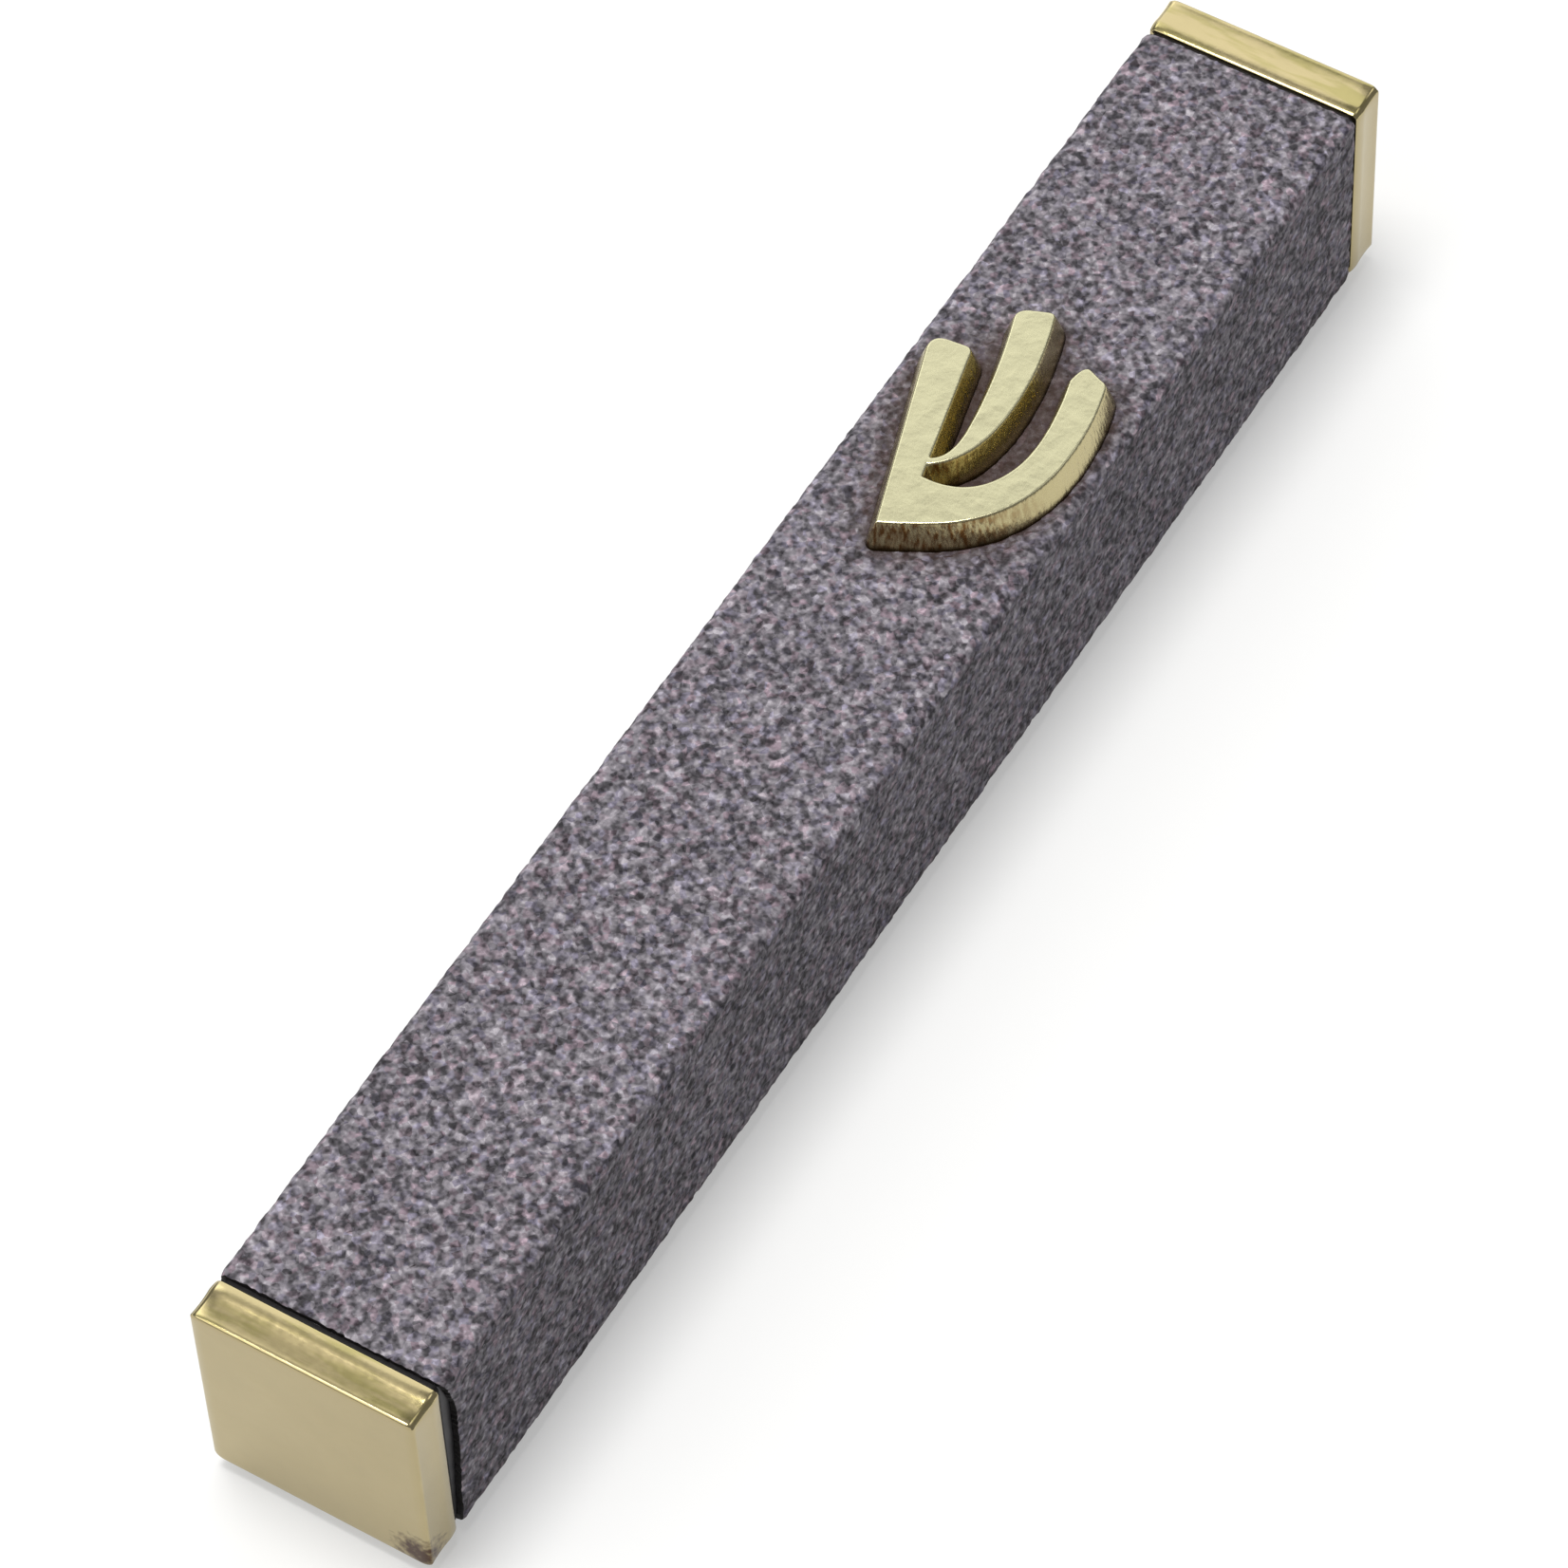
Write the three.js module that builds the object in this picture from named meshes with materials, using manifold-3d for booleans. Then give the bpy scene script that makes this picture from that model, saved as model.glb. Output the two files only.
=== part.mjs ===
// Mezuzah case: a square metal channel in a stone-grain skin, closed by two gold end caps on
// plastic plugs, with a raised letter Shin, a slide-in back plate and a rolled parchment inside.
//
// The case lies on its back. X runs across the width, Y along the length with the top end at
// +Y, and Z out of the front face. The origin is at mid length, on the surface that the
// adhesive pads rest on. All sizes are in millimetres.

import * as THREE from 'three';
import { mergeVertices } from 'three/addons/utils/BufferGeometryUtils.js';
import Module from 'manifold-3d';

const wasm = await Module();
wasm.setup();

// Whole case, over the skin and the caps.
const caseLength = 120;
const caseWidth = 16.2;
const caseDepth = 17;

// Stone-grain skin, glued over the channel and turned in behind it.
const skinThickness = 0.5;
const skinCornerRadius = 0.8;
const glueLine = 0.05;
const hemMargin = 0.6;          // bare metal left between the turned-in skin and the back slot

// Channel: plain walls, with two lips and two guide rails that hold the back plate.
const shellWall = 1.2;
const shellCornerRadius = 0.35;
const lipThickness = 1.2;
const slotWidth = 8.4;
const railThickness = 0.8;
const railReach = 1.5;          // how far each guide rail stands in from the side wall

// Back plate: a T section whose wide part runs between the lips and the rails.
const plateThickness = 1.2;
const plateClearance = 0.1;     // above and below the wide part, and at each end
const plateSideClearance = 0.15;
const screwHoleRadius = 1.7;
const screwHeadRadius = 3.3;
const screwHoleInset = 9.4;     // from each end of the plate to the hole's centre

// Adhesive foam pads and their release liners.
const padThickness = 1;
const padMargin = 0.55;         // from the pad's long edge to the plate's edge
const padGap = 12;              // between the two pads
const padToHole = 3;            // from the pad's end to the rim of the screw head's recess
const linerThickness = 0.15;
const linerTab = 2;             // the part of the liner that stands past the pad to be pulled

// End caps.
const capDepth = 3.1;
const capInset = 0.05;          // the cap's sides stand this far inside the skin's outer faces
const capCornerRadius = 0.8;
const capEdgeRadius = 0.5;
const capWall = 1.1;

// Plugs that hold the caps on.
const flangeThickness = 0.4;    // shows as the dark line between a cap and the skin
const flangeInset = 0.35;       // the flange's edge lies this far inside the cap's sides
const spigotLength = 5.5;
const spigotWall = 1;
const spigotClearance = 0.2;
const crushRibWidth = 0.7;
const crushRibHeight = 0.17;
const crushRibSpacing = 5;
const bossClearance = 0.1;      // between the plug's boss and the pocket in the cap

// Letter: strokes drawn on a sheet of their own, with sides that flare towards the base.
const letterSheet = 20.3;         // height of the sheet that the strokes are drawn on
const letterHeight = 20.5;
const letterThickness = 2.15;
const letterFlare = 0.65;
const letterToTop = 28.9;       // from the case's top end to the top of the letter
const letterOffset = 0.2;       // the letter stands this far to the right of the middle
const letterFoot = 0.1;         // the short upright foot under the flare
const pegRadius = 0.8;
const pegClearance = 0.12;
const pegShort = 0.15;          // the pegs end this far inside the channel's inner face

// Parchment, rolled up in a clear film sleeve.
const parchmentWidth = 100;     // across the unrolled sheet
const parchmentThickness = 0.2;
const scrollCoreRadius = 1.7;
const scrollPitch = 0.45;       // from one turn of the roll to the next
const scrollEndPlay = 0.95;     // at each end of the roll
const sleeveThickness = 0.12;
const sleeveClearance = 0.1;
const scrollLift = 0.05;        // between the sleeve and the back plate it lies on

// Facets.
const arcSteps = 5;
const roundSteps = 24;
const spiralStepsPerTurn = 30;
const cutOver = 1;              // how far a cutting shape runs past what it cuts

// Levels and widths that follow from the sizes above.
const caseBack = linerThickness + padThickness;
const caseFront = caseBack + caseDepth;
const shellInset = skinThickness + glueLine;
const shellWidth = caseWidth - 2 * shellInset;
const shellBack = caseBack + shellInset;
const shellFront = caseFront - shellInset;
const roomWidth = shellWidth - 2 * shellWall;
const roomTop = shellFront - shellWall;
const lipTop = shellBack + lipThickness;
const railBottom = lipTop + plateThickness + 2 * plateClearance;
const railTop = railBottom + railThickness;
const plateBottom = lipTop + plateClearance;
const plateTop = plateBottom + plateThickness;
const ribWidth = slotWidth - 2 * plateSideClearance;

const endY = caseLength / 2;
const capInnerY = endY - capDepth;
const bodyEndY = capInnerY - flangeThickness;
const plateEndY = bodyEndY - plateClearance;
const screwHoleY = plateEndY - screwHoleInset;

const finish = {
  skin: { color: 0x706a74, roughness: 0.75, metalness: 0.1 },
  shell: { color: 0x1d1c1e, roughness: 0.45, metalness: 0.6 },
  gold: { color: 0xd9cf9c, roughness: 0.18, metalness: 1 },
  plug: { color: 0x0f0f10, roughness: 0.55, metalness: 0 },
  plate: { color: 0x18181a, roughness: 0.6, metalness: 0 },
  foam: { color: 0xe6e4de, roughness: 0.95, metalness: 0 },
  liner: { color: 0xd8b06a, roughness: 0.6, metalness: 0 },
  parchment: { color: 0xe8dcbd, roughness: 0.8, metalness: 0 },
  film: { color: 0xf4f6f7, roughness: 0.15, metalness: 0, transparent: true, opacity: 0.3 },
};

// ---- Solids ----

function toSolid(geometry) {
  geometry.deleteAttribute('normal');
  geometry.deleteAttribute('uv');
  const welded = mergeVertices(geometry, 1e-5);
  return new wasm.Manifold(new wasm.Mesh({
    numProp: 3,
    vertProperties: welded.attributes.position.array,
    triVerts: Uint32Array.from(welded.index.array),
  }));
}

function toMesh(name, solid, look) {
  const { vertProperties, triVerts } = solid.getMesh();
  const geometry = new THREE.BufferGeometry();
  geometry.setAttribute('position', new THREE.BufferAttribute(vertProperties, 3));
  geometry.setIndex(new THREE.BufferAttribute(triVerts, 1));
  geometry.computeVertexNormals();
  const mesh = new THREE.Mesh(geometry, new THREE.MeshStandardMaterial(look));
  mesh.name = name;
  return mesh;
}

// A block centred on X, from one Y to another and from one level to another.
function block(width, [yA, yB], [zLow, zHigh], x = 0) {
  const geometry = new THREE.BoxGeometry(width, Math.abs(yB - yA), zHigh - zLow);
  return toSolid(geometry.translate(x, (yA + yB) / 2, (zLow + zHigh) / 2));
}

// A rectangle with round corners, drawn in X and Z.
function roundedSection(width, [zLow, zHigh], radius) {
  const half = width / 2;
  const shape = new THREE.Shape();
  shape.absarc(half - radius, zHigh - radius, radius, 0, Math.PI / 2);
  shape.absarc(-half + radius, zHigh - radius, radius, Math.PI / 2, Math.PI);
  shape.absarc(-half + radius, zLow + radius, radius, Math.PI, 1.5 * Math.PI);
  shape.absarc(half - radius, zLow + radius, radius, 1.5 * Math.PI, 2 * Math.PI);
  return shape;
}

// A section extruded along Y. An edge radius rounds both ends inwards.
function alongY(shape, [yA, yB], edgeRadius = 0) {
  const geometry = new THREE.ExtrudeGeometry(shape, {
    depth: Math.abs(yB - yA) - 2 * edgeRadius,
    curveSegments: arcSteps,
    bevelEnabled: edgeRadius > 0,
    bevelThickness: edgeRadius,
    bevelSize: edgeRadius,
    bevelOffset: -edgeRadius,
    bevelSegments: arcSteps,
  });
  geometry.rotateX(Math.PI / 2).translate(0, Math.max(yA, yB) - edgeRadius, 0);
  return toSolid(geometry);
}

// A round bar or cone that stands along Z.
function upright(x, y, [zLow, zHigh], radiusLow, radiusHigh = radiusLow) {
  const geometry = new THREE.CylinderGeometry(radiusHigh, radiusLow, zHigh - zLow, roundSteps);
  return toSolid(geometry.rotateX(Math.PI / 2).translate(x, y, (zLow + zHigh) / 2));
}

// ---- Letter ----

const letterScale = letterHeight / letterSheet;
const letterBaseY = endY - letterToTop - letterHeight;

// Each stroke is an outline on the letter's sheet. Neighbouring strokes share the corner at the
// foot of the letter, so that their flared sides meet in one edge.
function leftStroke() {
  const shape = new THREE.Shape();
  shape.moveTo(-1.95, 0);
  shape.lineTo(-0.3, 0.8);
  shape.lineTo(-1, 4);
  shape.lineTo(-3.45, 14.6);
  shape.quadraticCurveTo(-3.55, 15.25, -4.1, 15.25);
  shape.lineTo(-5.5, 15.1);
  shape.quadraticCurveTo(-6.55, 14.9, -6.35, 13.8);
  return shape;
}

function middleStroke() {
  const shape = new THREE.Shape();
  shape.moveTo(-2.2, 6.1);
  shape.lineTo(-2.1, 5.5);
  shape.lineTo(-1.3, 5.7);
  shape.quadraticCurveTo(1.05, 7.4, 1.14, 11.6);
  shape.quadraticCurveTo(1.25, 15.6, -0.25, 20);
  shape.quadraticCurveTo(-0.4, 20.4, -0.9, 20.25);
  shape.lineTo(-2.05, 19.8);
  shape.quadraticCurveTo(-2.9, 19.4, -2.65, 18.6);
  shape.quadraticCurveTo(-1.05, 13.5, -0.65, 9.2);
  shape.quadraticCurveTo(-0.45, 6.95, -1.5, 6.3);
  return shape;
}

function rightStroke() {
  const shape = new THREE.Shape();
  shape.moveTo(-1.95, 0);
  shape.quadraticCurveTo(1.2, 1.5, 2.6, 2.6);
  shape.quadraticCurveTo(6.1, 5.5, 6.24, 10.4);
  shape.quadraticCurveTo(6.35, 13.6, 5.5, 16.5);
  shape.quadraticCurveTo(5.35, 17, 4.95, 17.05);
  shape.lineTo(3.8, 17.5);
  shape.quadraticCurveTo(3.2, 17.6, 3.05, 16);
  shape.quadraticCurveTo(4.3, 11.2, 3.65, 8.5);
  shape.quadraticCurveTo(2.6, 4.5, -1.4, 4.75);
  shape.lineTo(-3.35, 4.75);
  return shape;
}

const pegs = [[-3.9, 11], [5.15, 11]].map(
  ([x, y]) => [letterOffset + x * letterScale, letterBaseY + y * letterScale],
);

// The outline grows by the flare from the top face down to the foot. The matching lower half
// of the bevel is cut away at the base.
function strokeSolid(shape) {
  const geometry = new THREE.ExtrudeGeometry(shape, {
    depth: 2 * letterFoot,
    curveSegments: arcSteps,
    bevelThickness: letterThickness - letterFoot,
    bevelSize: letterFlare / letterScale,
    bevelSegments: 1,
  });
  geometry.translate(0, 0, -letterFoot).scale(letterScale, letterScale, 1);
  return toSolid(geometry.translate(letterOffset, letterBaseY, caseFront));
}

function letterShin() {
  const strokes = [leftStroke(), middleStroke(), rightStroke()].map(strokeSolid);
  const below = block(
    3 * caseWidth, [-endY, endY], [caseFront - letterThickness - cutOver, caseFront],
  );
  const pegBottom = caseFront - shellInset - shellWall + pegShort;
  const letter = strokes.reduce((sum, stroke) => sum.add(stroke)).subtract(below);
  return pegs.reduce(
    (sum, [x, y]) => sum.add(upright(x, y, [pegBottom, caseFront + letterFoot], pegRadius)),
    letter,
  );
}

function drillPegHoles(solid) {
  const depth = [roomTop - cutOver, caseFront + cutOver];
  return pegs.reduce(
    (left, [x, y]) => left.subtract(upright(x, y, depth, pegRadius + pegClearance)), solid,
  );
}

// ---- Body ----

const bodySpan = [-bodyEndY, bodyEndY];
const cutSpan = [-bodyEndY - cutOver, bodyEndY + cutOver];

function caseShell() {
  const bar = roundedSection(shellWidth, [shellBack, shellFront], shellCornerRadius);
  const channel = alongY(bar, bodySpan)
    .subtract(block(roomWidth, cutSpan, [railTop, roomTop]))
    .subtract(block(roomWidth - 2 * railReach, cutSpan, [lipTop, railTop + cutOver]))
    .subtract(block(roomWidth, cutSpan, [lipTop, railBottom]))
    .subtract(block(slotWidth, cutSpan, [shellBack - cutOver, lipTop + plateClearance]));
  return drillPegHoles(channel);
}

function stoneSkin() {
  const outside = roundedSection(caseWidth, [caseBack, caseFront], skinCornerRadius);
  const inside = roundedSection(
    shellWidth + 2 * glueLine,
    [shellBack - glueLine, shellFront + glueLine],
    shellCornerRadius + glueLine,
  );
  const skin = alongY(outside, bodySpan)
    .subtract(alongY(inside, cutSpan))
    .subtract(block(slotWidth + 2 * hemMargin, cutSpan, [caseBack - cutOver, lipTop]));
  return drillPegHoles(skin);
}

// ---- Back plate, pads and liners ----

function backPlate() {
  const span = [-plateEndY, plateEndY];
  const wide = block(roomWidth - 2 * plateSideClearance, span, [plateBottom, plateTop]);
  const rib = block(ribWidth, span, [caseBack, plateTop]);
  const sinkDepth = screwHeadRadius - screwHoleRadius;
  return [-screwHoleY, screwHoleY].reduce((plate, y) => plate
    .subtract(upright(0, y, [caseBack - cutOver, plateTop + cutOver], screwHoleRadius))
    .subtract(upright(
      0, y, [plateTop - sinkDepth, plateTop + cutOver],
      screwHoleRadius, screwHeadRadius + cutOver,
    )), wide.add(rib));
}

// Side is +1 for the pad nearer the top end and -1 for the other one.
function padSpan(side) {
  return [side * padGap / 2, side * (screwHoleY - screwHeadRadius - padToHole)];
}

function foamPad(side) {
  return block(ribWidth - 2 * padMargin, padSpan(side), [linerThickness, caseBack]);
}

function releaseLiner(side) {
  const [near, far] = padSpan(side);
  const span = [near - side * linerTab, far];
  return block(ribWidth - 2 * padMargin, span, [0, linerThickness]);
}

// ---- Caps and plugs ----

const capWidth = caseWidth - 2 * capInset;
const capLevels = [caseBack + capInset, caseFront - capInset];
const pocketWidth = capWidth - 2 * capWall;
const pocketLevels = [capLevels[0] + capWall, capLevels[1] - capWall];
const pocketEndY = endY - capWall;

function endCap(side) {
  const outside = roundedSection(capWidth, capLevels, capCornerRadius);
  const pocket = block(
    pocketWidth, [side * (capInnerY - cutOver), side * pocketEndY], pocketLevels,
  );
  return alongY(outside, [side * capInnerY, side * endY], capEdgeRadius).subtract(pocket);
}

function capPlug(side) {
  const flange = alongY(
    roundedSection(
      capWidth - 2 * flangeInset,
      [capLevels[0] + flangeInset, capLevels[1] - flangeInset],
      capCornerRadius - flangeInset,
    ),
    [side * bodyEndY, side * capInnerY],
  );
  const boss = block(
    pocketWidth - 2 * bossClearance,
    [side * (capInnerY - flangeThickness / 2), side * (pocketEndY - bossClearance)],
    [pocketLevels[0] + bossClearance, pocketLevels[1] - bossClearance],
  );
  const spigotWidth = roomWidth - 2 * spigotClearance;
  const spigotLevels = [railTop + spigotClearance, roomTop - spigotClearance];
  const rootY = side * (bodyEndY + flangeThickness / 2);
  const tipY = side * (bodyEndY - spigotLength);
  const spigot = block(spigotWidth, [rootY, tipY], spigotLevels);
  const hollow = block(
    spigotWidth - 2 * spigotWall,
    [side * bodyEndY, tipY - side * cutOver],
    [spigotLevels[0] + spigotWall, spigotLevels[1] - spigotWall],
  );
  const middle = (spigotLevels[0] + spigotLevels[1]) / 2;
  const ribs = [-1, 1].flatMap((offset) => {
    const place = offset * crushRibSpacing / 2;
    const sideLevels = [middle + place - crushRibWidth / 2, middle + place + crushRibWidth / 2];
    const topLevels = [spigotLevels[1] - spigotWall / 2, spigotLevels[1] + crushRibHeight];
    return [
      block(spigotWidth + 2 * crushRibHeight, [rootY, tipY], sideLevels),
      block(crushRibWidth, [rootY, tipY], topLevels, place),
    ];
  });
  return [spigot, ...ribs].reduce((sum, piece) => sum.add(piece), flange)
    .add(boss)
    .subtract(hollow);
}

// ---- Scroll ----

// The roll has as many turns as the sheet's width gives at this pitch.
const scrollTurns = (Math.sqrt(scrollCoreRadius ** 2 + scrollPitch * parchmentWidth / Math.PI)
  - scrollCoreRadius) / scrollPitch;
const scrollRadius = scrollCoreRadius + scrollPitch * scrollTurns + parchmentThickness;
const sleeveRadius = scrollRadius + sleeveClearance + sleeveThickness;
const scrollZ = plateTop + scrollLift + sleeveRadius;
const scrollEndY = bodyEndY - spigotLength - scrollEndPlay;

function spiralPoint(turn, offset) {
  const radius = scrollCoreRadius + scrollPitch * turn + offset;
  const angle = 2 * Math.PI * turn;
  return new THREE.Vector2(radius * Math.cos(angle), scrollZ + radius * Math.sin(angle));
}

function parchmentScroll() {
  const steps = Math.round(scrollTurns * spiralStepsPerTurn);
  const turns = Array.from({ length: steps + 1 }, (_, i) => scrollTurns * i / steps);
  const inner = turns.map((turn) => spiralPoint(turn, 0));
  const outer = turns.map((turn) => spiralPoint(turn, parchmentThickness)).reverse();
  return alongY(new THREE.Shape([...inner, ...outer]), [-scrollEndY, scrollEndY]);
}

function scrollSleeve() {
  const ring = new THREE.Shape().absarc(0, scrollZ, sleeveRadius, 0, 2 * Math.PI);
  const bore = new THREE.Path();
  bore.absarc(0, scrollZ, sleeveRadius - sleeveThickness, 0, 2 * Math.PI, true);
  ring.holes.push(bore);
  const geometry = new THREE.ExtrudeGeometry(ring, {
    depth: 2 * scrollEndY, curveSegments: 2 * roundSteps, bevelEnabled: false,
  });
  return toSolid(geometry.rotateX(Math.PI / 2).translate(0, scrollEndY, 0));
}

// ---- Assembly ----

const mezuzahCase = new THREE.Group();

mezuzahCase.add(
  toMesh('case_shell', caseShell(), finish.shell),
  toMesh('stone_grain_skin', stoneSkin(), finish.skin),
  toMesh('letter_shin', letterShin(), finish.gold),
  toMesh('back_slide_plate', backPlate(), finish.plate),
  toMesh('parchment_scroll', parchmentScroll(), finish.parchment),
  toMesh('scroll_sleeve', scrollSleeve(), finish.film),
);

for (const [end, side] of [['top', 1], ['bottom', -1]]) {
  mezuzahCase.add(
    toMesh(`${end}_end_cap`, endCap(side), finish.gold),
    toMesh(`${end}_cap_plug`, capPlug(side), finish.plug),
    toMesh(`${end}_adhesive_pad`, foamPad(side), finish.foam),
    toMesh(`${end}_release_liner`, releaseLiner(side), finish.liner),
  );
}

export default mezuzahCase;
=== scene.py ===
# Looks for the mezuzah case: stone-grain skin, polished end caps, cast letter, and the plain
# pieces inside and behind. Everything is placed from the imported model, in its own frame.

import math

import bmesh
import bpy
import numpy as np
from mathutils import Matrix, Vector


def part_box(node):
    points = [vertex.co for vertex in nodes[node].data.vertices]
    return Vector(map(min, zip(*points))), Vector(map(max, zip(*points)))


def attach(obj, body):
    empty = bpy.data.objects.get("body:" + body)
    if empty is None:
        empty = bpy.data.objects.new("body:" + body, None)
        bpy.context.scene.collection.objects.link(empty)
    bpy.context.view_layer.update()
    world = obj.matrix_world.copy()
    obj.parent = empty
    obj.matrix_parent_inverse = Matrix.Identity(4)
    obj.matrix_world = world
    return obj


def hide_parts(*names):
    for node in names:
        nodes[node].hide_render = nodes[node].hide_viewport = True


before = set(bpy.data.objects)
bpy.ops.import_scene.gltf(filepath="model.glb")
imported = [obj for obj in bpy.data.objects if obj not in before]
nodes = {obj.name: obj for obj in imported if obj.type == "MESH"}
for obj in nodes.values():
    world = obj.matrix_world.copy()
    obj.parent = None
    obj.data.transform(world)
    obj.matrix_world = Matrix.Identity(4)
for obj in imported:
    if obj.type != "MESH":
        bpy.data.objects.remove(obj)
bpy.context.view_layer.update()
mm = 0.001                      # sizes in this script are in millimetres, meshes in metres
print("model loaded:", len(nodes), "nodes")


# ---- mesh helpers ----

def boxOf(node):
    low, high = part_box(node)
    return np.array(low) / mm, np.array(high) / mm


def gridQuads(rows, columns, closed=False, first=0):
    across = columns if closed else columns - 1
    row, column = np.mgrid[0:rows - 1, 0:across]
    nextColumn = (column + 1) % columns
    quads = np.stack([
        row * columns + column,
        row * columns + nextColumn,
        (row + 1) * columns + nextColumn,
        (row + 1) * columns + column,
    ], axis=-1)
    return (quads.reshape(-1, 4) + first).tolist()


# Two equal layers of points, one after the other, joined all round their edge.
def sheetFaces(rows, columns):
    layer = rows * columns
    faces = gridQuads(rows, columns) + gridQuads(rows, columns, first=layer)
    rim = list(range(columns)) + [row * columns + columns - 1 for row in range(1, rows)]
    rim += [(rows - 1) * columns + column for column in range(columns - 2, -1, -1)]
    rim += [row * columns for row in range(rows - 2, 0, -1)]
    for here, after in zip(rim, rim[1:] + rim[:1]):
        faces.append([here, after, after + layer, here + layer])
    return faces


# Random values that change smoothly over about one cell of rows and columns, from -1 to 1.
def smoothField(draws, rows, columns, cell):
    coarse = draws.uniform(-1, 1, (int(rows / cell) + 3, int(columns / cell) + 3))

    def cellsOf(count):
        place = np.arange(count) / cell
        whole = place.astype(int)
        part = place - whole
        return whole, part * part * (3 - 2 * part)

    rowCell, rowPart = cellsOf(rows)
    columnCell, columnPart = cellsOf(columns)
    rowPart = rowPart[:, None]
    lower = coarse[rowCell] * (1 - rowPart) + coarse[rowCell + 1] * rowPart
    return lower[:, columnCell] * (1 - columnPart) + lower[:, columnCell + 1] * columnPart


# Points along straight lines between corners, each inner corner rounded, evenly spaced.
def roundedPath(corners, radius, count):
    corners = [np.array(corner, float) for corner in corners]
    line = [corners[0]]
    for before, corner, after in zip(corners, corners[1:], corners[2:]):
        inward = (before - corner) / np.linalg.norm(before - corner)
        onward = (after - corner) / np.linalg.norm(after - corner)
        centre = corner + radius * (inward + onward)
        for angle in np.linspace(0, math.pi / 2, 13):
            line.append(centre - radius * (onward * math.cos(angle) + inward * math.sin(angle)))
    line = np.array(line + [corners[-1]])
    along = np.concatenate([[0], np.cumsum(np.linalg.norm(np.diff(line, axis=0), axis=1))])
    wanted = np.linspace(0, along[-1], count)
    return np.stack([np.interp(wanted, along, line[:, axis]) for axis in (0, 1)], axis=-1)


# Outward normals of a path that runs from the left hem over the front to the right hem.
def pathNormals(path):
    step = np.gradient(path, axis=0)
    normals = np.stack([-step[:, 1], step[:, 0]], axis=-1)
    return normals / np.linalg.norm(normals, axis=1)[:, None]


# A closed ring of points around a rectangle with round corners, in X and Z.
def roundedRing(low, high, radius, perCorner=9, perSide=22):
    radius = max(radius, 0.02)
    left, bottom = low + radius
    right, top = high - radius
    ring = []
    for centre, turn in (((right, top), 0), ((left, top), 1), ((left, bottom), 2), ((right, bottom), 3)):
        for angle in np.linspace(turn, turn + 1, perCorner) * math.pi / 2:
            ring.append([centre[0] + radius * math.cos(angle), centre[1] + radius * math.sin(angle)])
        start = np.array(ring[-1])
        along = np.array([-math.sin((turn + 1) * math.pi / 2), math.cos((turn + 1) * math.pi / 2)])
        reach = (right - left) if turn % 2 == 0 else (top - bottom)
        for part in range(1, perSide):
            ring.append(start + along * reach * part / perSide)
    return np.array(ring)


def addObject(name, data):
    thing = bpy.data.objects.new(name, data)
    bpy.context.scene.collection.objects.link(thing)
    return thing


def addPiece(name, points, faces, body, material, smooth=True, sharpAngle=None):
    mesh = bpy.data.meshes.new(name)
    mesh.from_pydata((np.asarray(points, float) * mm).tolist(), [], faces)
    work = bmesh.new()
    work.from_mesh(mesh)
    bmesh.ops.recalc_face_normals(work, faces=work.faces)
    work.to_mesh(mesh)
    work.free()
    return finishPiece(name, mesh, body, material, smooth, sharpAngle)


def finishPiece(name, mesh, body, material, smooth=True, sharpAngle=None):
    mesh.polygons.foreach_set("use_smooth", [smooth] * len(mesh.polygons))
    if smooth and sharpAngle:
        mesh.set_sharp_from_angle(angle=math.radians(sharpAngle))
    mesh.materials.clear()
    mesh.materials.append(material)
    piece = addObject(name, mesh)
    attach(piece, body)
    return piece


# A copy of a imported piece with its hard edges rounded, which then stands for it.
def softenedCopy(node, name, body, material, edge):
    work = bmesh.new()
    work.from_mesh(nodes[node].data)
    bmesh.ops.remove_doubles(work, verts=work.verts, dist=0.002 * mm)
    bmesh.ops.dissolve_limit(
        work, angle_limit=math.radians(1.5), verts=work.verts, edges=work.edges)
    rough = bpy.data.meshes.new(name + "_rough")
    work.to_mesh(rough)
    work.free()
    holder = addObject(name + "_rough", rough)
    bevel = holder.modifiers.new("edge", "BEVEL")
    bevel.width = edge * mm
    bevel.segments = 3
    bevel.limit_method = "ANGLE"
    bevel.angle_limit = math.radians(40)
    bpy.context.view_layer.update()
    ready = holder.evaluated_get(bpy.context.evaluated_depsgraph_get())
    mesh = bpy.data.meshes.new_from_object(ready)
    bpy.data.objects.remove(holder)
    bpy.data.meshes.remove(rough)
    mesh.name = name
    piece = finishPiece(name, mesh, body, material, True, 32)
    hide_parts(node)
    return piece


# ---- shader helpers ----

# Makes a shader node, sets its own properties, and fills its inputs with values or links.
def wire(tree, kind, inputs=None, **settings):
    node = tree.nodes.new("ShaderNode" + kind)
    for key, value in settings.items():
        setattr(node, key, value)
    for key, value in (inputs or {}).items():
        if isinstance(value, bpy.types.NodeSocket):
            tree.links.new(value, node.inputs[key])
        else:
            node.inputs[key].default_value = value
    return node


def calc(tree, operation, first, second=0.0, clamp=False):
    node = wire(tree, "Math", {0: first, 1: second}, operation=operation)
    node.use_clamp = clamp
    return node.outputs[0]


# A value plus a share of another.
def plus(tree, value, other, share):
    return calc(tree, "ADD", value, calc(tree, "MULTIPLY", other, share))


def ramp(tree, factor, stops):
    node = wire(tree, "ValToRGB", {"Fac": factor})
    points = node.color_ramp.elements
    while len(points) < len(stops):
        points.new(0.5)
    for point, (position, colour) in zip(points, stops):
        point.position = position
        point.color = (*colour, 1) if len(colour) == 3 else colour
    return node.outputs["Color"]


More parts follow.
